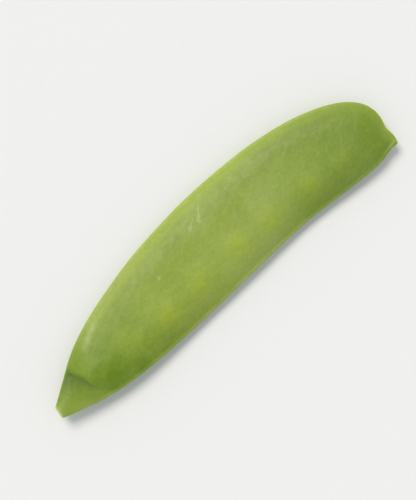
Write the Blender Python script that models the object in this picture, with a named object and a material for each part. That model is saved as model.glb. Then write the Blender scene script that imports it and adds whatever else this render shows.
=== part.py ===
"""Snow pea pod, cut at the stem end and lying on one flat side.

Metres, +Z up. X runs along the pod from the stem cut to the beak, and Y across it from the
seed seam to the curved back. The origin is under the middle of the pod, on what it lies on.
"""

import math

import bmesh
import bpy
import numpy as np
from mathutils.geometry import interpolate_bezier

# Driving dimensions, metres
POD_LENGTH = 0.0847  # stem cut to beak
POD_SPAN = 0.0221  # lowest point of the seed seam to the crown of the back, along Y
BODY_HALF_THICKNESS = 0.00217  # one valve's height over the middle plane, between seeds
CUT_HALF_THICKNESS = 0.00095  # the same where the stem end is cut

# The two seams in plan, from the stem cut to the beak, as Bezier knots: (handle in, knot, handle out).
# X is a share of POD_LENGTH and Y a share of POD_SPAN.
BEAK_TIP = (0.9935, 0.195)
BACK_SEAM = [
    (None, (0.0, 0.248), (0.034, 0.339)),
    ((0.070, 0.454), (0.106, 0.538), (0.200, 0.752)),
    ((0.425, 1.0), (0.655, 1.0), (0.862, 1.0)),
    ((1.0, 0.820), (1.0, 0.490), (1.0, 0.434)),
    ((0.995, 0.394), (0.995, 0.362), (0.995, 0.330)),
    ((1.003, 0.258), BEAK_TIP, None),
]
SEED_SEAM = [
    (None, (0.0, 0.133), (0.065, 0.059)),
    ((0.130, 0.0), (0.206, 0.0), (0.390, 0.0)),
    ((0.613, 0.140), (0.732, 0.145), (0.827, 0.149)),
    ((0.923, 0.116), (0.953, 0.163), (0.968, 0.186)),
    ((0.982, 0.190), BEAK_TIP, None),
]

# How a valve rises from each seam, metres and powers
SEED_SEAM_SLOPE = 0.0070  # from the seed seam to full height
SEED_SEAM_POWER = 2.4
BACK_SEAM_SLOPE = 0.0074
BACK_SEAM_POWER = 2.6
SEED_RIM_RADIUS = 0.00050  # the rib along the seed seam
BACK_RIM_RADIUS = 0.00038
RIM_FALL = 0.9  # reach of a rib's inner side, in its radii
RIM_BLEND = 0.00018  # how softly rib and valve meet
BEAK_FLESH = 0.00052  # height of the solid flesh that fills the corner at the beak
BEAK_REACH = 0.0020
STEM_TAPER = 0.17  # share of the length over which the oval stem end becomes flat

# Seeds, in a row beside the seed seam: (share of the seam's length, distance from it in metres, size)
SEEDS = [
    (0.132, 0.0050, 0.45),
    (0.238, 0.0055, 0.70),
    (0.349, 0.0059, 1.00),
    (0.449, 0.0059, 0.90),
    (0.571, 0.0061, 1.10),
    (0.665, 0.0052, 0.85),
    (0.778, 0.0054, 0.70),
    (0.878, 0.0056, 0.35),
]
SEED_SPREAD = 0.0021  # radius of a seed's swelling, where it falls to 0.61 of its height
SEED_SWELL_ABOVE = 0.00040
SEED_SWELL_BELOW = 0.00018  # less, where the pod's own weight flattens it

# How the pod lies
REST_PLACE = 0.535  # share of the length where it lies lowest, under its centre of mass
STEM_LIFT = 0.0011
BEAK_LIFT = 0.0010
TWIST = math.radians(6)  # of the beak end against the stem end
LIE_DEPTH = 0.00028  # how much of the underside is pressed flat

# Finish
POD_GREEN = (0.262, 0.376, 0.050, 1.0)  # linear light
POD_ROUGHNESS = 0.45

# Mesh
STATIONS = 66  # rings along the pod
ACROSS = 18  # steps from seam to seam on each valve
CURVE_STEPS = 24  # points on each Bezier piece
CUT_EXTENSION = 0.01  # how far the seams are carried on past the cut, to measure from
SEAM_STEP = 0.01  # share of the seam's length on each side of a seed that gives the seam's direction
SHARP_ANGLE = math.radians(50)  # edges sharper than this, round the cut, aren't shaded smooth


def clear_scene():
    for old in list(bpy.data.objects):
        bpy.data.objects.remove(old, do_unlink=True)


def pod_green():
    material = bpy.data.materials.new("pod_green")
    material.use_nodes = True
    shader = material.node_tree.nodes["Principled BSDF"]
    shader.inputs["Base Color"].default_value = POD_GREEN
    shader.inputs["Roughness"].default_value = POD_ROUGHNESS
    shader.inputs["Metallic"].default_value = 0.0
    return material


def seam_line(knots):
    """The seam as closely spaced points, metres."""
    scale = np.array([POD_LENGTH, POD_SPAN])
    pieces = []
    for (_, start, leave), (arrive, end, _) in zip(knots, knots[1:]):
        corners = [(*(np.array(corner) * scale), 0.0) for corner in (start, leave, arrive, end)]
        pieces += interpolate_bezier(*corners, CURVE_STEPS)[:-1]
    line = np.array([point[:2] for point in pieces])
    return np.vstack([line, np.array(BEAK_TIP) * scale])


def at_share(line, share):
    """Points on a line at these shares of its length."""
    run = np.concatenate([[0.0], np.cumsum(np.linalg.norm(np.diff(line, axis=0), axis=1))])
    run /= run[-1]
    return np.stack([np.interp(share, run, line[:, axis]) for axis in (0, 1)], axis=-1)


def distance_to(line, points):
    """Distance from each point to a seam, which is carried straight on past the stem cut."""
    outward = line[0] - line[1]
    outward *= CUT_EXTENSION / np.linalg.norm(outward)
    line = np.vstack([line[0] + outward, line])
    nearest = np.full(points.shape[:-1], np.inf)
    for start, end in zip(line, line[1:]):
        along = end - start
        share = np.clip((points - start) @ along / (along @ along), 0.0, 1.0)
        gap = points - start - share[..., None] * along
        nearest = np.minimum(nearest, np.linalg.norm(gap, axis=-1))
    return nearest


def smooth_step(value):
    value = np.clip(value, 0.0, 1.0)
    return value * value * (3.0 - 2.0 * value)


def soft_max(one, other, blend):
    """The larger of two heights, rounded where they cross and exact where both are 0."""
    return 0.5 * (one + other + np.sqrt((one - other) ** 2 + blend**2) - blend)


def bell(distance, reach):
    return np.exp(-((distance / reach) ** 2))


def rim(distance, radius):
    """A rib that starts at the seam: round outside, and falling softly inside."""
    reach = np.clip(distance / radius, 0.0, 1.0)
    inner_side = bell(np.maximum(distance - radius, 0.0), RIM_FALL * radius)
    return radius * np.sqrt(reach * (2.0 - reach)) * inner_side


def valve_height(from_seed_seam, from_back_seam, from_beak, along, across):
    """How far a valve stands over the middle plane, without the seeds."""
    seed_rise = 1.0 - (1.0 - np.clip(from_seed_seam / SEED_SEAM_SLOPE, 0, 1)) ** SEED_SEAM_POWER
    back_rise = 1.0 - (1.0 - np.clip(from_back_seam / BACK_SEAM_SLOPE, 0, 1)) ** BACK_SEAM_POWER
    body = BODY_HALF_THICKNESS * seed_rise * back_rise
    seed_rib = rim(from_seed_seam, SEED_RIM_RADIUS)
    ribs = soft_max(seed_rib, rim(from_back_seam, BACK_RIM_RADIUS), RIM_BLEND)
    inside = smooth_step(np.minimum(from_seed_seam, from_back_seam) / SEED_RIM_RADIUS)
    beak = BEAK_FLESH * bell(from_beak, BEAK_REACH) * inside
    flat = soft_max(body, soft_max(ribs, beak, RIM_BLEND), RIM_BLEND)
    oval = CUT_HALF_THICKNESS * np.sqrt(np.maximum(1.0 - (2.0 * across - 1.0) ** 2, 0.0))
    share = smooth_step(along / STEM_TAPER)
    return flat * share + np.maximum(oval, flat) * (1.0 - share)


def seed_swelling(points, seed_seam):
    """The seeds' domes, 1 at the top of a full-sized one."""
    swelling = np.zeros(points.shape[:-1])
    for share, inset, size in SEEDS:
        nearby = np.array([share - SEAM_STEP, share, share + SEAM_STEP])
        before, middle, after = at_share(seed_seam, nearby)
        along = (after - before) / np.linalg.norm(after - before)
        centre = middle + inset * np.array([-along[1], along[0]])
        reach = np.linalg.norm(points - centre, axis=-1) / SEED_SPREAD
        swelling += size * np.exp(-0.5 * reach**2)
    return swelling


def lying_height(points):
    """The middle plane's own height: both ends lift a little, and the pod is slightly twisted."""
    along = points[..., 0] / POD_LENGTH - REST_PLACE
    towards_stem = np.maximum(-along / REST_PLACE, 0.0)
    towards_beak = np.maximum(along / (1.0 - REST_PLACE), 0.0)
    lean = TWIST * along * (points[..., 1] - 0.5 * POD_SPAN)
    return STEM_LIFT * towards_stem**2 + BEAK_LIFT * towards_beak**2 + lean


def shares_along():
    """Ring places, closer together towards both ends."""
    even = np.arange(STATIONS) / STATIONS
    return 0.5 * (even + 0.5 * (1.0 - np.cos(math.pi * even)))


def pod_rings():
    """Rings of points round the pod, from the stem cut on, and the beak's tip."""
    back_seam = seam_line(BACK_SEAM)
    seed_seam = seam_line(SEED_SEAM)
    along = np.append(shares_along(), 1.0)
    across = 0.5 * (1.0 - np.cos(math.pi * np.arange(ACROSS + 1) / ACROSS))
    low = at_share(seed_seam, along)[:, None, :]
    high = at_share(back_seam, along)[:, None, :]
    plan = low + (high - low) * across[None, :, None]

    height = valve_height(
        from_seed_seam=distance_to(seed_seam, plan),
        from_back_seam=distance_to(back_seam, plan),
        from_beak=np.linalg.norm(plan - seed_seam[-1], axis=-1),
        along=along[:, None],
        across=across[None, :],
    )
    on_valve = height / BODY_HALF_THICKNESS  # seeds swell nothing out at the seams
    swelling = seed_swelling(plan, seed_seam) * smooth_step(on_valve)
    middle = lying_height(plan)
    top = np.dstack([plan, middle + height + SEED_SWELL_ABOVE * swelling])
    bottom = np.dstack([plan, middle - height - SEED_SWELL_BELOW * swelling])

    rings = np.concatenate([top, bottom[:, -2:0:-1]], axis=1)
    rings[..., 2] -= rings[..., 2].min() + LIE_DEPTH
    rings[..., 2] = np.maximum(rings[..., 2], 0.0)
    flat = rings.reshape(-1, 3)
    rings[..., :2] -= 0.5 * (flat.min(axis=0) + flat.max(axis=0))[:2]
    return rings[:-1], rings[-1, 0]


def pod_mesh(rings, tip):
    """One closed skin: rings bridged with quads, a flat face on the cut, and a fan at the tip."""
    bm = bmesh.new()
    loops = [[bm.verts.new(point) for point in ring] for ring in rings]
    apex = bm.verts.new(tip)
    for here, there in zip(loops, loops[1:]):
        for index, vertex in enumerate(here):
            before = index - 1
            bm.faces.new((vertex, here[before], there[before], there[index]))
    for index, vertex in enumerate(loops[-1]):
        bm.faces.new((vertex, loops[-1][index - 1], apex))
    bm.faces.new(loops[0])
    bmesh.ops.recalc_face_normals(bm, faces=bm.faces)
    mesh = bpy.data.meshes.new("snow_pea_pod")
    bm.to_mesh(mesh)
    bm.free()
    mesh.shade_smooth()
    mesh.set_sharp_from_angle(angle=SHARP_ANGLE)
    return mesh


def main():
    clear_scene()
    mesh = pod_mesh(*pod_rings())
    mesh.materials.append(pod_green())
    bpy.context.scene.collection.objects.link(bpy.data.objects.new("snow_pea_pod", mesh))


main()
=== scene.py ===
"""The looks of the snow pea pod: one fine mesh of the whole pod, its skin, and a plain studio.

Everything is in metres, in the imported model's frame. X runs from the stem cut to the beak, Y from the
seed seam to the curved back, and the pod lies on Z = 0. Places on the pod are shares of its box.
"""

import math
from types import SimpleNamespace

import bpy
import numpy as np
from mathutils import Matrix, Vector, noise
from mathutils.geometry import interpolate_bezier


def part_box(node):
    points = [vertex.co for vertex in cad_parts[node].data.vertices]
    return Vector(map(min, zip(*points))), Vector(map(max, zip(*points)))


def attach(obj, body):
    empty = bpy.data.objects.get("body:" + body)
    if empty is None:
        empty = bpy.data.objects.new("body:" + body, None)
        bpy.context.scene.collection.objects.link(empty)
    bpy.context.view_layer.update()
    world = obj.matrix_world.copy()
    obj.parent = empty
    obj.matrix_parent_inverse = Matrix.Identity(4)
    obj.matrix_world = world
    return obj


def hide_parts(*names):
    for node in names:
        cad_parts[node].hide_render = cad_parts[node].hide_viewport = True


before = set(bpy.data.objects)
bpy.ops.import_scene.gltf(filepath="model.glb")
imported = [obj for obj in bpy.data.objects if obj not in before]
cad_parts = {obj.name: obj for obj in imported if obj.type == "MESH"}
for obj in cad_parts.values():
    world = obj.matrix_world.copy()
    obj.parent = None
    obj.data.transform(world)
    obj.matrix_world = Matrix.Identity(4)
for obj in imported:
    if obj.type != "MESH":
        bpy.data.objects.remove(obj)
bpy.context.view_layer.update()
LOW, HIGH = (np.array(corner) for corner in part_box("snow_pea_pod"))
SIZE = HIGH - LOW
MM = 0.001

# The two seams seen from above, from the stem cut to the beak: (handle in, knot, handle out)
BEAK_TIP = (0.9935, 0.195)
BACK_SEAM = [
    (None, (0.0, 0.248), (0.034, 0.339)),
    ((0.070, 0.454), (0.106, 0.538), (0.200, 0.752)),
    ((0.425, 1.0), (0.655, 1.0), (0.862, 1.0)),
    ((1.0, 0.820), (1.0, 0.490), (1.0, 0.434)),
    ((0.995, 0.394), (0.995, 0.362), (0.995, 0.330)),
    ((1.003, 0.258), BEAK_TIP, None),
]
SEED_SEAM = [
    (None, (0.0, 0.133), (0.065, 0.059)),
    ((0.130, 0.0), (0.206, 0.0), (0.390, 0.0)),
    ((0.613, 0.140), (0.732, 0.145), (0.827, 0.149)),
    ((0.923, 0.116), (0.953, 0.163), (0.968, 0.186)),
    ((0.982, 0.190), BEAK_TIP, None),
]
CURVE_STEPS = 40  # points on each Bezier piece

# Unevenness, as a sum of clouds: (size, height, which part of the noise)
EDGE_WOBBLE = [(8 * MM, 0.070 * MM, 0.0), (3 * MM, 0.028 * MM, 1.0)]
WALL_WOBBLE = [(13 * MM, 0.13 * MM, 0.0), (4 * MM, 0.03 * MM, 3.0), (1.1 * MM, 0.007 * MM, 6.0)]
EDGE_STEADY_AT_CUT, EDGE_STEADY_AT_BEAK = 0.08, 0.30  # shares of a seam where its wobble fades out

# Which part of the noise each kind of unevenness reads, so that no two are alike
SEED_SEAM_PART, BACK_SEAM_PART = 61.0, 71.0
UPPER_VALVE_PART, LOWER_VALVE_PART = 20.0, 40.0
RIPPLE_PART = 11.0
CREASE_PART = 81.0
DEEP_PART = 91.0
SCAR_PART = 5.0
SHEEN_STREAK_PART = 7.0
FIBRE_PART = 3.0

# Mesh: rings along the pod, each with a valve's width of points above and below
RINGS = 500
ACROSS = 84
CUT_RINGS = 14
CUT_EXTENSION = 10 * MM  # how far the seams are carried on past the cut, to measure from
TINY = 1e-9  # stands in for a width of 0 at the tip

# How a valve rises from the seams
HALF_THICKNESS = 0.427 * SIZE[2]  # one valve over the middle plane, between the peas
CUT_HALF_THICKNESS = 0.95 * MM  # the same at the stem cut
SEED_SLOPE, SEED_POWER = 7.0 * MM, 2.4
BACK_SLOPE, BACK_POWER = 7.4 * MM, 2.6
SEED_RIM, BACK_RIM = 0.50 * MM, 0.36 * MM  # radii of the round ribs along the seams
SEED_VALLEY, BACK_VALLEY = 0.25 * MM, 0.10 * MM  # a valve's wall starts this far inside its rib
RIM_FALL = 0.9  # the rib's inner side, in radii
RIM_BLEND = 0.18 * MM
STEM_TAPER = 0.17  # share of the length over which the oval stem end becomes flat
TIP_HEIGHT, TIP_REACH = 0.52 * MM, 2.0 * MM  # solid flesh that fills the corner at the beak
GROOVE_DEPTH, GROOVE_HEIGHT = 0.16 * MM, 0.20 * MM  # the seed seam's own groove, along the edge
KEEL_REACH, KEEL_HEIGHT = 0.06 * MM, 0.12 * MM  # the back seam's fine ridge
EDGE_FADE = 3 * MM  # groove and ridge fade out where the pod is narrower than this

# The crease where the flat neck ends and the hollow body starts
CREASE_BACK, CREASE_SEED = (0.0805, 0.385), (0.1255, 0.045)
CREASE_BEND, CREASE_BEND_SIZE = 0.35 * MM, 4 * MM  # its unevenness
CREASE_DEPTH = 0.30 * MM
CREASE_RISE = 1.1 * MM  # width of the step
CREASE_FADE = 3.2 * MM  # over which the neck comes level again towards the cut
CREASE_START = 0.8 * MM  # the step fades out where the valve is lower than this

# The wedge of shade at the step's foot
SHADE_LENGTH = 9.5 * MM  # from the back seam down
SHADE_ON_NECK, SHADE_ON_BODY = 3.4 * MM, 1.0 * MM  # its reach to each side, beside the back seam
SHADE_TAPER = 1.5  # the power by which it narrows
SHADE_FADE = 0.5  # the share of its length, at its end, over which it fades
SHADE_LEAST = 0.1  # how little is left of it there
SHADE_PLACE = -0.35 * MM  # its darkest line, measured from the crease towards the beak

# Peas in a row beside the seed seam: (share of the seam's length, distance from it in mm, size)
PEAS = [
    (0.132, 5.0, 0.45),
    (0.238, 5.5, 0.70),
    (0.349, 5.9, 1.00),
    (0.449, 5.9, 0.90),
    (0.571, 6.1, 1.10),
    (0.665, 5.2, 0.85),
    (0.778, 5.4, 0.70),
    (0.878, 5.6, 0.35),
]
PEA_SPREAD = 2.1 * MM  # where a pea's swelling falls to 0.61 of its height
PEA_SPOT = 1.75 * MM  # the same for its yellower spot
PEA_NARROWING = 0.3  # how much narrower than a full-sized pea the smallest could be
PEA_ABOVE, PEA_BELOW = 0.34 * MM, 0.20 * MM  # its height on the upper and the lower valve
SEAM_STEP = 0.01  # share of the seam on each side of a pea that gives the seam's direction

# Veins: slanted cells drawn out towards the beak
VEIN_SLANT = math.radians(34)
VEIN_CELL = 2.3 * MM  # width of a cell
VEIN_STRETCH = 2.6  # its length, in widths
VEIN_WIDTH = 0.42 * MM
VEIN_HEIGHT = 0.018 * MM
VEIN_BEND, VEIN_BEND_SIZE = 0.5 * MM, 5 * MM

# Where the flesh is thin and deep green, and the last one painted shade beside a pea: (middle, reach in
# mm, strength)
DEEP_SPOTS_AND_SHADE = [
    ((0.152, 0.180), 8.8, 1.0),
    ((0.215, 0.035), 5.6, 0.90),
    ((0.300, 0.020), 6.5, 0.50),
    ((0.220, 0.135), 13.0, 0.40),
    # painted shade on the lower side of a pea
    ((0.755, 0.260), 6.0, 0.35),
]
DEEP_RAGGED, DEEP_RAGGED_SIZE = 0.25, 2.2 * MM

# How the pod lies
REST_PLACE = 0.535  # share of the length where it lies lowest
STEM_LIFT, BEAK_LIFT = 1.1 * MM, 1.0 * MM
TWIST = math.radians(6)
RIPPLE_HEIGHT, RIPPLE_SIZE = 0.30 * MM, 17 * MM  # the seams' slow rise and fall
LIE_DEPTH, LIE_BLEND = 0.22 * MM, 0.10 * MM  # how much of the underside is pressed flat

# Corky marks on each valve: (start, end, half width in mm)
UPPER_SCARS = [
    ((0.524, 0.757), (0.532, 0.786), 0.38),
    ((0.532, 0.786), (0.544, 0.857), 0.13),
    ((0.496, 0.745), (0.502, 0.755), 0.33),
    ((0.507, 0.772), (0.517, 0.793), 0.10),
    ((0.3705, 0.569), (0.3730, 0.575), 0.30),
]
LOWER_SCARS = [
    ((0.655, 0.700), (0.690, 0.665), 0.20),
    ((0.690, 0.665), (0.712, 0.640), 0.14),
    ((0.300, 0.440), (0.303, 0.446), 0.16),
]
SCAR_DEPTH = 0.03 * MM
SCAR_EDGE = 1.6  # where a mark has faded out, in half widths
SCAR_RAGGED, SCAR_RAGGED_SIZE = 0.9, 0.45 * MM

# A painted highlight: a pale streak of sheen on the shoulder beside the neck
SHEEN_STREAK_START, SHEEN_STREAK_END = (0.140, 0.500), (0.187, 0.615)
SHEEN_STREAK_REACH = 0.62 * MM
SHEEN_STREAK_STRENGTH, SHEEN_STREAK_PATCHY, SHEEN_STREAK_PATCH_SIZE = 0.75, 0.5, 1.3 * MM

# The stem cut: a thin lip, then a sunken face whose heart stands a little proud. Shares run inwards.
LIP_SHARE, HEART_START, HEART_SLOPE = 0.35, 0.5, 0.4
FACE_DEPTH, HEART_HEIGHT = 0.20 * MM, 0.10 * MM
FIBRE_HEIGHT, FIBRE_SIZE, FIBRE_START = 0.09 * MM, 0.20 * MM, 0.2
DRIED_REACH = 0.30 * MM  # how far the cut's pale colour runs on along the skin


# ---------------------------------------------------------------- shape helpers


def smooth_step(value):
    value = np.clip(value, 0.0, 1.0)
    return value * value * (3.0 - 2.0 * value)


def soft_max(one, other, blend):
    """The larger of two heights, rounded where they cross and exact where both are 0."""
    return 0.5 * (one + other + np.sqrt((one - other) ** 2 + blend**2) - blend)


def bell(distance, reach):
    return np.exp(-((distance / reach) ** 2))


def clouds(points, size, part):
    """Smooth noise from about -1 to 1, with features of this size. part picks another part of it."""
    flat = points.reshape(-1, points.shape[-1])[:, :2] / size
    values = [noise.noise(Vector((x + part, y + 2.0 * part, 3.0 * part))) for x, y in flat]
    return np.array(values).reshape(points.shape[:-1])


def wobble(points, kinds, part):
    """Unevenness summed over kinds of cloud: (size, height, which part of the noise)."""
    return sum(height * clouds(points, size, part + shift) for size, height, shift in kinds)


def at_share(line, share):
    """Points on a line at these shares of its length."""
    run = np.concatenate([[0.0], np.cumsum(np.linalg.norm(np.diff(line, axis=0), axis=1))])
    run /= run[-1]
    return np.stack([np.interp(share, run, line[:, axis]) for axis in (0, 1)], axis=-1)


def distance_to(line, points):
    """Distance from each point to a line of straight pieces."""
    nearest = np.full(points.shape[:-1], np.inf)
    for start, end in zip(line, line[1:]):
        along = end - start
        share = np.clip((points - start) @ along / (along @ along), 0.0, 1.0)
        gap = points - start - share[..., None] * along
        nearest = np.minimum(nearest, np.linalg.norm(gap, axis=-1))
    return nearest


def place_of(shares):
    """Shares of the box as a point seen from above."""
    return LOW[:2] + np.array(shares) * SIZE[:2]


def seam_line(knots, part):
    """The seam as closely spaced points, slightly uneven except at its two ends."""
    pieces = []
    for (_, start, leave), (arrive, end, _) in zip(knots, knots[1:]):
        corners = [(*corner, 0.0) for corner in (start, leave, arrive, end)]
        pieces += interpolate_bezier(*corners, CURVE_STEPS)[:-1]
    line = place_of([point[:2] for point in pieces] + [BEAK_TIP])
    share = np.linspace(0.0, 1.0, len(line))
    fade = smooth_step(share / EDGE_STEADY_AT_CUT) * smooth_step((1.0 - share) / EDGE_STEADY_AT_BEAK)
    line[:, 1] += wobble(line, EDGE_WOBBLE, part) * fade
    return line


def carried_past_cut(line):
    outward = line[0] - line[1]
    return np.vstack([line[0] + CUT_EXTENSION * outward / np.linalg.norm(outward), line])


# ---------------------------------------------------------------- the pod's surface


def ring_shares():
    """Ring places, closer together towards both ends."""
    even = np.arange(RINGS) / RINGS
    return 0.5 * (even + 0.5 * (1.0 - np.cos(math.pi * even)))


def pod_plan():
    """The pod from above: a grid of points from the cut to the beak and from seam to seam."""
    seed_seam, back_seam = seam_line(SEED_SEAM, SEED_SEAM_PART), seam_line(BACK_SEAM, BACK_SEAM_PART)
    along = np.append(ring_shares(), 1.0)
    across = 0.5 * (1.0 - np.cos(math.pi * np.arange(ACROSS + 1) / ACROSS))
    low = at_share(seed_seam, along)[:, None, :]
    high = at_share(back_seam, along)[:, None, :]
    width = np.linalg.norm(high - low, axis=-1)
    points = low + (high - low) * across[None, :, None]
    along, across = np.broadcast_arrays(along[:, None], across[None, :])
    return SimpleNamespace(
        points=points,
        along=along,
        across=across,
        width=width,
        to_back=(high - low) / np.maximum(width, TINY)[..., None],
        from_seed=distance_to(carried_past_cut(seed_seam), points),
        from_back=distance_to(carried_past_cut(back_seam), points),
        seed_seam=seed_seam,
    )


def rim(distance, radius):
    """A rib that starts at the seam: round outside, and falling softly inside."""
    reach = np.clip(distance / radius, 0.0, 1.0)
    inner_side = bell(np.maximum(distance - radius, 0.0), RIM_FALL * radius)
    return radius * np.sqrt(reach * (2.0 - reach)) * inner_side


def rise(distance, slope, power):
    return 1.0 - (1.0 - np.clip(distance / slope, 0.0, 1.0)) ** power


def valve_height(plan):
    """How far a valve stands over the middle plane, without its peas."""
    seed_rise = rise(plan.from_seed - SEED_VALLEY, SEED_SLOPE, SEED_POWER)
    back_rise = rise(plan.from_back - BACK_VALLEY, BACK_SLOPE, BACK_POWER)
    ribs = soft_max(rim(plan.from_seed, SEED_RIM), rim(plan.from_back, BACK_RIM), RIM_BLEND)
    from_edge = np.minimum(plan.from_seed, plan.from_back)
    from_tip = np.linalg.norm(plan.points - place_of(BEAK_TIP), axis=-1)
    tip = TIP_HEIGHT * bell(from_tip, TIP_REACH) * smooth_step(from_edge / SEED_RIM)
    flat = soft_max(HALF_THICKNESS * seed_rise * back_rise, soft_max(ribs, tip, RIM_BLEND), RIM_BLEND)
    oval = CUT_HALF_THICKNESS * np.sqrt(np.maximum(1.0 - (2.0 * plan.across - 1.0) ** 2, 0.0))
    share = smooth_step(plan.along / STEM_TAPER)
    return flat * share + np.maximum(oval, flat) * (1.0 - share)


def edged_points(plan, height):
    """The points seen from above, with the seed seam's groove and the back seam's ridge in the edge."""
    groove = GROOVE_DEPTH * bell(height, GROOVE_HEIGHT) * (plan.across < 0.5)
    keel = KEEL_REACH * bell(height, KEEL_HEIGHT) * (plan.across >= 0.5)
    fade = smooth_step(plan.width / EDGE_FADE)
    return plan.points + plan.to_back * ((groove + keel) * fade)[..., None]


def pea_swelling(plan, spread):
    """The peas' domes, 1 at the top of a full-sized one."""
    swelling = np.zeros(plan.along.shape)
    for share, inset_mm, size in PEAS:
        nearby = np.array([share - SEAM_STEP, share, share + SEAM_STEP])
        before, middle, after = at_share(plan.seed_seam, nearby)
        along = (after - before) / np.linalg.norm(after - before)
        centre = middle + inset_mm * MM * np.array([-along[1], along[0]])
        width = spread * (1.0 - PEA_NARROWING + PEA_NARROWING * size)
        reach = np.linalg.norm(plan.points - centre, axis=-1) / width
        swelling += size * np.exp(-0.5 * reach**2)
    return swelling


def past_crease(plan):
    """Distance from the crease towards the beak."""
    back, seed = place_of(CREASE_BACK), place_of(CREASE_SEED)
    along = (seed - back) / np.linalg.norm(seed - back)
    past = (plan.points - back) @ np.array([-along[1], along[0]])
    return past + CREASE_BEND * clouds(plan.points, CREASE_BEND_SIZE, CREASE_PART)


def body_share(past):
    """0 on the neck and 1 on the body, from the distance past the crease."""
    return smooth_step(0.5 + past / CREASE_RISE)


def neck(plan):
    """1 on the flat neck beside the crease, less towards the cut, and 0 on the body."""
    past = past_crease(plan)
    return (1.0 - body_share(past)) * np.exp(np.minimum(past, 0.0) / CREASE_FADE)


def crease_shade(plan):
    """The shade at the step's foot: a wedge, broad beside the back seam and faint at its point."""
    past = past_crease(plan) - SHADE_PLACE
    left = np.maximum(1.0 - plan.from_back / SHADE_LENGTH, SHADE_LEAST)
    shade = bell(past, np.where(past < 0.0, SHADE_ON_NECK, SHADE_ON_BODY) * left**SHADE_TAPER)
    return shade * smooth_step(left / SHADE_FADE) * smooth_step(plan.from_back / BACK_RIM)


def deep_spots_and_shade(plan):
    """The deep green patches, the last one painted shade beside a pea, which stop at the crease."""
    mask = np.zeros(plan.along.shape)
    ragged = 1.0 + DEEP_RAGGED * clouds(plan.points, DEEP_RAGGED_SIZE, DEEP_PART)
    for middle, reach_mm, strength in DEEP_SPOTS_AND_SHADE:
        reach = np.linalg.norm(plan.points - place_of(middle), axis=-1) / (reach_mm * MM * ragged)
        mask = np.maximum(mask, strength * (1.0 - smooth_step(reach)))
    return mask * body_share(past_crease(plan))


def veins(plan, part):
    """The borders between cells drawn out along a slant, 1 on a vein."""
    bent = VEIN_BEND * clouds(plan.points, VEIN_BEND_SIZE, part)
    x, y = plan.points[..., 0] + bent, plan.points[..., 1] + bent
    lengthways = (x * math.cos(VEIN_SLANT) + y * math.sin(VEIN_SLANT)) / (VEIN_CELL * VEIN_STRETCH)
    sideways = (y * math.cos(VEIN_SLANT) - x * math.sin(VEIN_SLANT)) / VEIN_CELL
    between = []
    for one, other in zip(lengthways.ravel(), sideways.ravel()):
        nearest, second = noise.voronoi(Vector((one, other, part)))[0][:2]
        between.append(second - nearest)
    gap = np.array(between).reshape(plan.along.shape) * VEIN_CELL
    return 1.0 - smooth_step(gap / VEIN_WIDTH)


def scar_mask(plan, scars):
    mask = np.zeros(plan.along.shape)
    ragged = 1.0 + SCAR_RAGGED * clouds(plan.points, SCAR_RAGGED_SIZE, SCAR_PART)
    for start, end, half_width_mm in scars:
        line = np.array([place_of(start), place_of(end)])
        reach = distance_to(line, plan.points) / (SCAR_EDGE * half_width_mm * MM * ragged)
        mask = np.maximum(mask, 1.0 - smooth_step(reach))
    return mask


# A painted highlight: a patchy pale streak of sheen along the shoulder.
def shoulder_highlight(plan):
    line = np.array([place_of(SHEEN_STREAK_START), place_of(SHEEN_STREAK_END)])
    streak = bell(distance_to(line, plan.points), SHEEN_STREAK_REACH)
    return streak * (SHEEN_STREAK_STRENGTH + SHEEN_STREAK_PATCHY * clouds(plan.points, SHEEN_STREAK_PATCH_SIZE, SHEEN_STREAK_PART))


def lying_height(plan):
    """The middle plane's own height: both ends lift a little, and the pod is slightly twisted."""
    along = (plan.points[..., 0] - LOW[0]) / SIZE[0] - REST_PLACE
    towards_stem = np.maximum(-along / REST_PLACE, 0.0)
    towards_beak = np.maximum(along / (1.0 - REST_PLACE), 0.0)
    lean = TWIST * along * plan.points[..., 1]
    return STEM_LIFT * towards_stem**2 + BEAK_LIFT * towards_beak**2 + lean


def valve_relief(plan, height, swell, part, scars):
    """One valve's height over the middle plane with all its relief, and the values its skin reads."""
    on_wall = smooth_step(height / HALF_THICKNESS)
    vein, scar = veins(plan, part), scar_mask(plan, scars)
    swelling = swell * pea_swelling(plan, PEA_SPREAD)
    step = neck(plan) * smooth_step(height / CREASE_START)
    relief = height - CREASE_DEPTH * step - SCAR_DEPTH * scar
    relief = relief + on_wall * (swelling + wobble(plan.points, WALL_WOBBLE, part) + VEIN_HEIGHT * vein)
    values = {
        "pea": pea_swelling(plan, PEA_SPOT),
        "from_seed_mm": plan.from_seed / MM,
        "from_back_mm": plan.from_back / MM,
        "along": plan.along,
        # painted shade at the crease's foot
        "crease": crease_shade(plan),
        "deep": deep_spots_and_shade(plan),
        "vein": vein * on_wall,
        "scar": scar,
        "shoulder_sheen": shoulder_highlight(plan),
    }
    return relief, values


def around(top, bottom):
    """Values on the upper and the lower valve, joined into rings. The seams' points are shared."""
    return np.concatenate([top, bottom[:, -2:0:-1]], axis=1)


def laid_down(rings):
    """The rings with their lowest stretch pressed softly flat, resting at the bottom of the box."""
    depth = rings[..., 2] - rings[..., 2].min() - LIE_DEPTH
    lying = 0.5 * (depth + np.sqrt(depth**2 + LIE_BLEND**2))
    rings[..., 2] = lying - lying.min() + LOW[2]
    return rings


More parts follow.
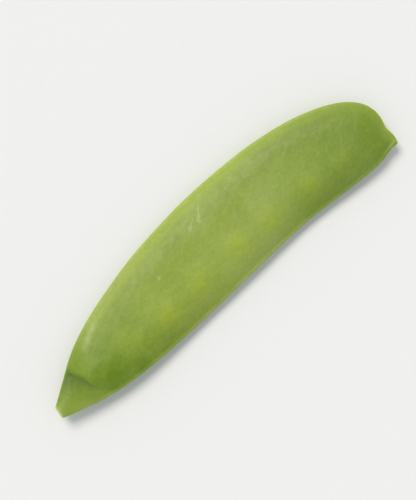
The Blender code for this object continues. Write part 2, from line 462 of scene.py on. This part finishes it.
def pod_rings():
    """Points of the pod's skin as rings from the stem cut to the beak's tip, and values per point."""
    plan = pod_plan()
    height = valve_height(plan)
    points = edged_points(plan, height)
    on_edge = 1.0 - smooth_step(height / HALF_THICKNESS)
    ripple = RIPPLE_HEIGHT * on_edge * clouds(plan.points, RIPPLE_SIZE, RIPPLE_PART)
    middle = lying_height(plan) + ripple
    above, above_values = valve_relief(plan, height, PEA_ABOVE, UPPER_VALVE_PART, UPPER_SCARS)
    below, below_values = valve_relief(plan, height, PEA_BELOW, LOWER_VALVE_PART, LOWER_SCARS)
    rings = around(np.dstack([points, middle + above]), np.dstack([points, middle - below]))
    values = {name: around(above_values[name], below_values[name]) for name in above_values}
    return laid_down(rings), values


def cut_rings(first_ring):
    """Rings from the edge of the stem cut inwards: a thin lip, then a sunken and fibrous face."""
    centre = first_ring.mean(axis=0)
    rings = []
    for step in range(1, CUT_RINGS + 1):
        inward = step / (CUT_RINGS + 1)
        ring = centre + (first_ring - centre) * (1.0 - inward)
        sunk = FACE_DEPTH * smooth_step(inward / LIP_SHARE)
        heart = HEART_HEIGHT * smooth_step((inward - HEART_START) / HEART_SLOPE)
        fibres = FIBRE_HEIGHT * clouds(ring[:, 1:], FIBRE_SIZE, FIBRE_PART)
        fibres = fibres * smooth_step(inward / FIBRE_START)
        ring[:, 0] = centre[0] + sunk - heart + fibres
        rings.append(ring)
    return np.array(rings)


def pod_faces(ring_count, around_count):
    """Quads between rings, and a fan at each end. Point 0 is the cut's middle, and the last the tip."""
    index = 1 + np.arange(ring_count * around_count).reshape(ring_count, around_count)
    after = np.roll(index, -1, axis=1)
    quads = np.stack([index[:-1], index[1:], after[1:], after[:-1]], axis=-1).reshape(-1, 4)
    tip = 1 + ring_count * around_count
    fan_in = [(0, int(one), int(other)) for one, other in zip(index[0], after[0])]
    fan_out = [(tip, int(other), int(one)) for one, other in zip(index[-1], after[-1])]
    return quads.tolist() + fan_in + fan_out


def add_values(mesh, name, middle, cut, skin, tip):
    """One value per point: the cut's middle, the cut's rings, the skin's rings and the tip."""
    values = np.concatenate([[middle], np.ravel(cut), np.ravel(skin), [tip]])
    layer = mesh.attributes.new(name, "FLOAT", "POINT")
    layer.data.foreach_set("value", values.astype(np.float32))


def pod_mesh():
    """The whole skin as one closed mesh. Its points run from the cut's middle out and on to the tip."""
    rings, values = pod_rings()
    skin, tip = rings[:-1], rings[-1, 0]
    cut = cut_rings(skin[0])[::-1]
    cut_count, around_count = cut.shape[:2]
    points = np.vstack([cut[0].mean(axis=0)[None], cut.reshape(-1, 3), skin.reshape(-1, 3), tip[None]])
    mesh = bpy.data.meshes.new("pod")
    mesh.from_pydata(points.tolist(), [], pod_faces(cut_count + len(skin), around_count))
    for name, value in values.items():
        edge = np.broadcast_to(value[0], (cut_count, around_count))
        add_values(mesh, name, value[0].mean(), edge, value[:-1], value[-1, 0])
    dried = np.exp(-(skin[..., 0] - LOW[0]) / DRIED_REACH)
    add_values(mesh, "cut", 1.0, np.ones((cut_count, around_count)), dried, 0.0)
    inward = 1.0 - np.repeat(np.arange(1, cut_count + 1) / (cut_count + 1), around_count)
    add_values(mesh, "inward", 1.0, inward, np.zeros(dried.shape), 0.0)
    mesh.shade_smooth()
    return mesh


# ---------------------------------------------------------------- the skin

MIX_ONE, MIX_OTHER, MIX_RESULT = 6, 7, 2  # the Mix node's sockets for colours


class Nodes:
    """Adds nodes to a node tree and links them."""

    def __init__(self, tree):
        self.tree = tree

    def add(self, kind, inputs, output=0, **settings):
        """A new node's output. An input is a value, or another node's output."""
        node = self.tree.nodes.new(kind)
        for name, value in settings.items():
            setattr(node, name, value)
        for name, value in inputs.items():
            self.set(node.inputs[name], value)
        return node.outputs[output]

    def set(self, socket, value):
        if isinstance(value, bpy.types.NodeSocket):
            self.tree.links.new(value, socket)
        else:
            socket.default_value = value

    def attribute(self, name):
        return self.add("ShaderNodeAttribute", {}, "Fac", attribute_name=name)

    def noise(self, vector, scale, detail=2.0, roughness=0.5):
        inputs = {"Vector": vector, "Scale": scale, "Detail": detail, "Roughness": roughness}
        return self.add("ShaderNodeTexNoise", inputs)

    def ramp(self, value, over, gives=(0.0, 1.0)):
        """Eases from one result to the other as the value goes over this range."""
        inputs = dict(enumerate((value, *over, *gives)))
        return self.add("ShaderNodeMapRange", inputs, interpolation_type="SMOOTHSTEP")

    def calculate(self, operation, one, other):
        return self.add("ShaderNodeMath", {0: one, 1: other}, operation=operation)

    def plus(self, one, other):
        return self.calculate("ADD", one, other)

    def times(self, one, other):
        return self.calculate("MULTIPLY", one, other)

    def larger(self, one, other):
        return self.calculate("MAXIMUM", one, other)

    def scaled(self, vector, scale):
        return self.add("ShaderNodeVectorMath", {0: vector, "Scale": scale}, operation="SCALE")

    def mix(self, share, one, other):
        """Two colours mixed. The share is a number or an output."""
        inputs = {"Factor": share, MIX_ONE: one, MIX_OTHER: other}
        return self.add("ShaderNodeMix", inputs, MIX_RESULT, data_type="RGBA")


def srgb(*levels):
    """A colour given as 0 to 255 on a screen, in linear light."""
    linear = []
    for level in levels:
        share = level / 255
        linear.append(share / 12.92 if share <= 0.04045 else ((share + 0.055) / 1.055) ** 2.4)
    return (*linear, 1.0)


def new_material(name):
    material = bpy.data.materials.new(name)
    material.use_nodes = True
    return material, Nodes(material.node_tree), material.node_tree.nodes["Principled BSDF"].inputs


GREEN = srgb(140, 161, 50)
LIGHT_GREEN = srgb(150, 170, 62)
BACK_HIGHLIGHT_GREEN = srgb(160, 176, 68)
SHOULDER_SHADE_GREEN = srgb(118, 142, 0)
DEEP_GREEN_AND_SHADE = srgb(102, 133, 0)
NECK_GREEN_AND_SHADE = srgb(112, 139, 8)
CREASE_SHADE_GREEN = srgb(76, 103, 20)
BEAK_GREEN = srgb(106, 133, 38)
PEA_GREEN = srgb(162, 176, 34)
SEAM_GREEN = srgb(164, 184, 84)
BACK_EDGE_GREEN_AND_HIGHLIGHT = srgb(158, 184, 44)
BLOOM = srgb(164, 178, 112)
SHEEN_STREAK_PALE = srgb(186, 198, 136)
CORK = srgb(196, 204, 142)
CUT_RING = srgb(206, 212, 140)
CUT_HEART = srgb(150, 170, 78)
CUT_FIBRE = srgb(222, 224, 164)
TIP_BROWN = srgb(128, 118, 62)

MOST_NOISE = (0.3, 0.7)  # the range that most of a noise's values fall in

# How fine each pattern is, in features to a millimetre
PATCHES_PER_MM = 0.075
BLOOM_PER_MM = 0.13
RUBS_PER_MM = 0.42
STREAKS_PER_MM, STREAK_SCALE = 1.0, (0.3, 1.0, 1.0)  # drawn out along the pod
NET_PER_MM, NET_SCALE = 1.1, (0.4, 1.0, 1.0)
GRAIN_PER_MM = 1.5
SPECKS_PER_MM = 3.4
CELLS_PER_MM = 5.0
FIBRES_PER_MM = 9.0
SHINE_PATCHES_PER_MM = 0.7

# How strongly each mark shows in the colour
CREASE_SHADE_SHOWS = 0.85
VEIN_SHOWS, NET_SHOWS = 0.14, 0.08
SPECKS_SHOW, RUBS_SHOW = 0.20, 0.12
SHOULDER_SHEEN_SHOWS = 0.45
SCARS_SHOW = 0.55

# The surface
ROUGHNESS = (0.43, 0.55)
DRY_ROUGHNESS = 0.25  # added on corky marks and on the cut
CELL_RELIEF, NET_RELIEF, GRAIN_RELIEF = 0.5, 0.25, 0.8
BUMP_STRENGTH, BUMP_HEIGHT = 0.35, 0.06 * MM
SKIN_SETTINGS = {
    "Subsurface Weight": 0.30,
    "Subsurface Radius": (0.9, 1.0, 0.25),
    "Subsurface Scale": 1.2 * MM,
    "Specular IOR Level": 0.38,
    "Sheen Weight": 0.06,
    "Sheen Roughness": 0.4,
    "Sheen Tint": (0.85, 0.95, 0.70, 1.0),
}


def fine_veins(nodes, in_mm):
    """The net between the main veins, 1 on a vein."""
    slant = {"Vector": in_mm, "Rotation": (0.0, 0.0, -VEIN_SLANT), "Scale": NET_SCALE}
    slanted = nodes.add("ShaderNodeMapping", slant)
    cells = {"Vector": slanted, "Scale": NET_PER_MM}
    from_edge = nodes.add("ShaderNodeTexVoronoi", cells, feature="DISTANCE_TO_EDGE")
    return nodes.ramp(from_edge, (0.0, 0.12), (1.0, 0.0))


def skin_inputs(nodes):
    """What the skin depends on: its place in mm, the mesh's values, and two fine patterns."""
    in_mm = nodes.scaled(nodes.add("ShaderNodeTexCoord", {}, "Object"), 1 / MM)
    return SimpleNamespace(
        in_mm=in_mm,
        along=nodes.attribute("along"),
        from_seed=nodes.attribute("from_seed_mm"),
        from_back=nodes.attribute("from_back_mm"),
        pea=nodes.attribute("pea"),
        crease=nodes.attribute("crease"),
        deep=nodes.attribute("deep"),
        vein=nodes.attribute("vein"),
        scar=nodes.attribute("scar"),
        shoulder_sheen=nodes.attribute("shoulder_sheen"),
        cut=nodes.attribute("cut"),
        inward=nodes.attribute("inward"),
        net=fine_veins(nodes, in_mm),
        grain=nodes.noise(in_mm, GRAIN_PER_MM, 3.0, 0.6),
    )


def end_to_end_green(nodes, at):
    """Soft patches of green, a painted highlight along the back's rim, darker towards the beak, and a
    darker neck that is partly painted shade.
    """
    patches = nodes.noise(at.in_mm, PATCHES_PER_MM, 3.0)
    colour = nodes.mix(nodes.ramp(patches, (0.38, 0.64)), GREEN, LIGHT_GREEN)

    # Painted highlight: a paler band just inside the back seam, whiter towards the stem.
    rim_highlight_colour = nodes.mix(nodes.ramp(at.along, (0.25, 0.42), (0.6, 0.0)), BACK_HIGHLIGHT_GREEN, BLOOM)
    rim_highlight = nodes.ramp(at.from_back, (1.0, 2.8), (0.45, 0.0))
    rim_highlight = nodes.times(rim_highlight, nodes.ramp(at.along, (0.72, 1.0), (1.0, 0.2)))
    colour = nodes.mix(rim_highlight, colour, rim_highlight_colour)

    to_beak = nodes.ramp(at.along, (0.50, 1.0), (0.0, 0.85))
    to_beak = nodes.times(to_beak, nodes.ramp(at.from_back, (0.0, 3.0), (0.5, 1.0)))
    colour = nodes.mix(to_beak, colour, BEAK_GREEN)

    # The neck's own deeper green, darkened further by painted shade.
    neck_start = nodes.ramp(at.from_back, (1.0, 4.5), (0.10, 0.02))
    neck_end = nodes.ramp(at.from_back, (1.0, 4.5), (0.20, 0.34))
    on_neck = nodes.ramp(at.along, (neck_start, neck_end), (0.85, 0.0))
    return nodes.mix(on_neck, colour, NECK_GREEN_AND_SHADE)


def with_bloom(nodes, at, colour):
    """The pale bloom: in clouds, most of it round the middle, and less beside the back seam."""
    bloom = nodes.ramp(nodes.noise(at.in_mm, BLOOM_PER_MM, 3.0), (0.35, 0.75), (0.10, 0.34))
    bloom = nodes.times(bloom, nodes.ramp(at.from_back, (2.0, 7.0), (0.4, 1.0)))
    past_neck = nodes.ramp(at.along, (0.28, 0.55))
    before_beak = nodes.ramp(at.along, (0.58, 0.80), (1.0, 0.0))
    in_middle = nodes.ramp(nodes.times(past_neck, before_beak), (0.0, 1.0), (0.25, 1.0))
    return nodes.mix(nodes.times(bloom, in_middle), colour, BLOOM)


def with_flank_shade(nodes, at, colour):
    """Painted shade: flanks darker along both seams, except at the ends, and darker deep green on the
    back shoulder near the beak.
    """
    shoulder = nodes.ramp(at.from_back, (1.0, 3.0))
    shoulder = nodes.times(shoulder, nodes.ramp(at.from_back, (3.5, 7.5), (1.0, 0.0)))
    back_flank_shade = nodes.ramp(shoulder, (0.0, 1.0), (1.0, 0.88))
    seed_flank_shade = nodes.ramp(at.from_seed, (1.0, 6.0), (0.92, 1.0))
    stem_end = nodes.ramp(at.along, (0.08, 0.27), (1.0, 0.8))
    beak_end = nodes.ramp(at.along, (0.72, 0.88), (0.8, 1.0))
    flank_shade = nodes.times(back_flank_shade, seed_flank_shade)
    colour = nodes.scaled(colour, nodes.larger(flank_shade, nodes.larger(stem_end, beak_end)))
    # Painted shade on the back shoulder near the beak.
    shoulder_shade = nodes.times(shoulder, nodes.ramp(at.along, (0.58, 0.80), (0.0, 0.45)))
    return nodes.mix(shoulder_shade, colour, SHOULDER_SHADE_GREEN)


def with_depth(nodes, at, colour):
    """Deep green patches (the last one painted shade beside a pea), the shade at the crease, and the
    peas, fainter where the green is deep.
    """
    colour = nodes.mix(at.deep, colour, DEEP_GREEN_AND_SHADE)
    # Painted shade at the crease's foot.
    colour = nodes.mix(nodes.times(at.crease, CREASE_SHADE_SHOWS), colour, CREASE_SHADE_GREEN)
    pea = nodes.times(at.pea, nodes.ramp(at.deep, (0.1, 0.5), (0.52, 0.15)))
    return nodes.mix(pea, colour, PEA_GREEN)


def with_fine_detail(nodes, at, colour):
    """Veins, pale specks and rubs, the painted highlight on the shoulder, and the streaks along the
    pod.
    """
    lines = nodes.larger(nodes.times(at.vein, VEIN_SHOWS), nodes.times(at.net, NET_SHOWS))
    colour = nodes.mix(lines, colour, SEAM_GREEN)

    specks = nodes.ramp(nodes.noise(at.in_mm, SPECKS_PER_MM, 2.0), (0.60, 0.74))
    rubs = nodes.ramp(nodes.noise(at.in_mm, RUBS_PER_MM, 5.0, 0.65), (0.50, 0.74))
    pale = nodes.larger(nodes.times(specks, SPECKS_SHOW), nodes.times(rubs, RUBS_SHOW))
    pale = nodes.times(pale, nodes.ramp(at.from_back, (1.5, 6.0), (0.5, 1.0)))
    pale = nodes.times(pale, nodes.ramp(at.deep, (0.3, 1.0), (1.0, 0.2)))
    colour = nodes.mix(pale, colour, BLOOM)
    # Painted highlight on the shoulder.
    colour = nodes.mix(nodes.times(at.shoulder_sheen, SHOULDER_SHEEN_SHOWS), colour, SHEEN_STREAK_PALE)

    drawn_out = nodes.add("ShaderNodeMapping", {"Vector": at.in_mm, "Scale": STREAK_SCALE})
    streaks = nodes.ramp(nodes.noise(drawn_out, STREAKS_PER_MM, 3.0), MOST_NOISE, (0.975, 1.025))
    return nodes.scaled(colour, nodes.times(streaks, nodes.ramp(at.grain, MOST_NOISE, (0.94, 1.05))))


def with_seams(nodes, at, colour):
    """A paler line along each seam: the seed seam's wide at the cut, the back's faint at both ends and
    partly a painted highlight.
    """
    seed_line = nodes.ramp(at.from_seed, (0.25, 0.75), (0.14, 0.0))
    wide_line = nodes.ramp(at.from_seed, (0.5, 4.0), (0.40, 0.0))
    wide_line = nodes.times(wide_line, nodes.ramp(at.along, (0.05, 0.12), (1.0, 0.0)))
    colour = nodes.mix(nodes.larger(seed_line, wide_line), colour, SEAM_GREEN)
    # The back seam's paler rib, partly a painted highlight on its rounded edge.
    back_line_and_highlight = nodes.ramp(at.from_back, (0.20, 0.90), (0.30, 0.0))
    back_line_and_highlight = nodes.times(back_line_and_highlight, nodes.ramp(at.along, (0.25, 0.45), (0.2, 1.0)))
    back_line_and_highlight = nodes.times(back_line_and_highlight, nodes.ramp(at.along, (0.68, 0.92), (1.0, 0.2)))
    return nodes.mix(back_line_and_highlight, colour, BACK_EDGE_GREEN_AND_HIGHLIGHT)


def with_cut(nodes, at, colour):
    """The stem cut's face: a pale ring round a greener heart, with paler fibres."""
    face = nodes.mix(nodes.ramp(at.inward, (0.15, 0.45)), CUT_RING, CUT_HEART)
    fibres = nodes.ramp(nodes.noise(at.in_mm, FIBRES_PER_MM, 3.0, 0.6), (0.42, 0.66), (0.0, 0.55))
    return nodes.mix(at.cut, colour, nodes.mix(fibres, face, CUT_FIBRE))


def skin_colour(nodes, at):
    colour = end_to_end_green(nodes, at)
    for add_layer in (with_bloom, with_flank_shade, with_depth, with_fine_detail, with_seams):
        colour = add_layer(nodes, at, colour)
    colour = nodes.mix(nodes.times(at.scar, SCARS_SHOW), colour, CORK)
    colour = with_cut(nodes, at, colour)
    at_tip = nodes.ramp(at.along, (0.985, 0.999), (0.0, 0.40))
    return nodes.mix(at_tip, colour, TIP_BROWN)


def skin_roughness(nodes, at):
    rough = nodes.ramp(nodes.noise(at.in_mm, SHINE_PATCHES_PER_MM, 4.0), MOST_NOISE, ROUGHNESS)
    return nodes.plus(rough, nodes.times(nodes.larger(at.scar, at.cut), DRY_ROUGHNESS))


def skin_bump(nodes, at):
    """The relief too fine for the mesh: cells, the net of veins and the grain."""
    cells = nodes.noise(at.in_mm, CELLS_PER_MM, 2.0)
    relief = nodes.plus(nodes.times(cells, CELL_RELIEF), nodes.times(at.net, NET_RELIEF))
    relief = nodes.plus(relief, nodes.times(at.grain, GRAIN_RELIEF))
    bump = {"Height": relief, "Strength": BUMP_STRENGTH, "Distance": BUMP_HEIGHT}
    return nodes.add("ShaderNodeBump", bump)


def skin_material():
    material, nodes, shader = new_material("pod_skin")
    at = skin_inputs(nodes)
    nodes.set(shader["Base Color"], skin_colour(nodes, at))
    nodes.set(shader["Roughness"], skin_roughness(nodes, at))
    nodes.set(shader["Normal"], skin_bump(nodes, at))
    for name, value in SKIN_SETTINGS.items():
        shader[name].default_value = value
    return material


def make_pod():
    pod = bpy.data.objects.new("pod", pod_mesh())
    bpy.context.scene.collection.objects.link(pod)
    pod.data.materials.append(skin_material())
    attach(pod, "root")
    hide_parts("snow_pea_pod")


# ---------------------------------------------------------------- the studio

VIEW_TURN = math.radians(38.5)  # how far the pod's length is turned up from the picture's foot
PICTURE_HEIGHT = 97.5 * MM  # of the floor seen from top to bottom
LENS_MM = 100.0
SENSOR_MM = 36.0
CLIP_START, CLIP_END = 0.01, 10.0
FLOOR_SIZE = 12.0
FLOOR_DARK, FLOOR_LIGHT = srgb(238, 239, 238), srgb(240, 241, 240)
FLOOR_GRAIN_PER_MM = 2.6
FLOOR_ROUGHNESS = 0.9
KEY_FROM = (0.05, 0.88, 1.22)
KEY_STRENGTH, KEY_SOFTNESS = 1.87, math.radians(28)
KEY_COLOUR = (1.0, 0.97, 0.91)
SKY_HORIZON, SKY_TOP = srgb(240, 240, 238), srgb(186, 188, 191)
SKY_BAND = (0.05, 0.55)  # heights between which the horizon's colour gives way to the top's


def make_floor():
    half = 0.5 * FLOOR_SIZE
    corners = [(-half, -half, 0), (half, -half, 0), (half, half, 0), (-half, half, 0)]
    mesh = bpy.data.meshes.new("floor")
    mesh.from_pydata(corners, [], [(0, 1, 2, 3)])
    material, nodes, shader = new_material("floor_paper")
    position = nodes.add("ShaderNodeTexCoord", {}, "Object")
    grain = nodes.noise(nodes.scaled(position, 1 / MM), FLOOR_GRAIN_PER_MM, 2.0)
    paper = nodes.mix(nodes.ramp(grain, MOST_NOISE), FLOOR_DARK, FLOOR_LIGHT)
    nodes.set(shader["Base Color"], paper)
    shader["Roughness"].default_value = FLOOR_ROUGHNESS
    mesh.materials.append(material)
    floor = bpy.data.objects.new("floor", mesh)
    bpy.context.scene.collection.objects.link(floor)


def make_key():
    """One large soft light from above the curved back, even over the whole floor."""
    light = bpy.data.lights.new("key", "SUN")
    light.energy = KEY_STRENGTH
    light.angle = KEY_SOFTNESS
    light.color = KEY_COLOUR
    lamp = bpy.data.objects.new("key", light)
    lamp.rotation_euler = (-Vector(KEY_FROM)).to_track_quat("-Z", "Y").to_euler()
    bpy.context.scene.collection.objects.link(lamp)


def make_sky():
    """A plain surround: as pale as the floor at the horizon, and a soft grey overhead."""
    world = bpy.data.worlds.new("studio")
    world.use_nodes = True
    nodes = Nodes(world.node_tree)
    direction = nodes.add("ShaderNodeTexCoord", {}, "Generated")
    height = nodes.add("ShaderNodeSeparateXYZ", {"Vector": direction}, "Z")
    colour = nodes.mix(nodes.ramp(height, SKY_BAND), SKY_HORIZON, SKY_TOP)
    nodes.set(world.node_tree.nodes["Background"].inputs["Color"], colour)
    bpy.context.scene.world = world


def make_camera():
    camera = bpy.data.cameras.new("camera")
    camera.lens = LENS_MM
    camera.sensor_width = SENSOR_MM
    camera.clip_start = CLIP_START
    camera.clip_end = CLIP_END
    shot = bpy.data.objects.new("camera", camera)
    shot.location = (0.0, 0.0, 0.5 * SIZE[2] + PICTURE_HEIGHT * LENS_MM / SENSOR_MM)
    shot.rotation_euler = (0.0, 0.0, -VIEW_TURN)
    bpy.context.scene.collection.objects.link(shot)
    bpy.context.scene.camera = shot


make_pod()
make_floor()
make_key()
make_sky()
make_camera()
bpy.context.scene.view_settings.view_transform = "Standard"
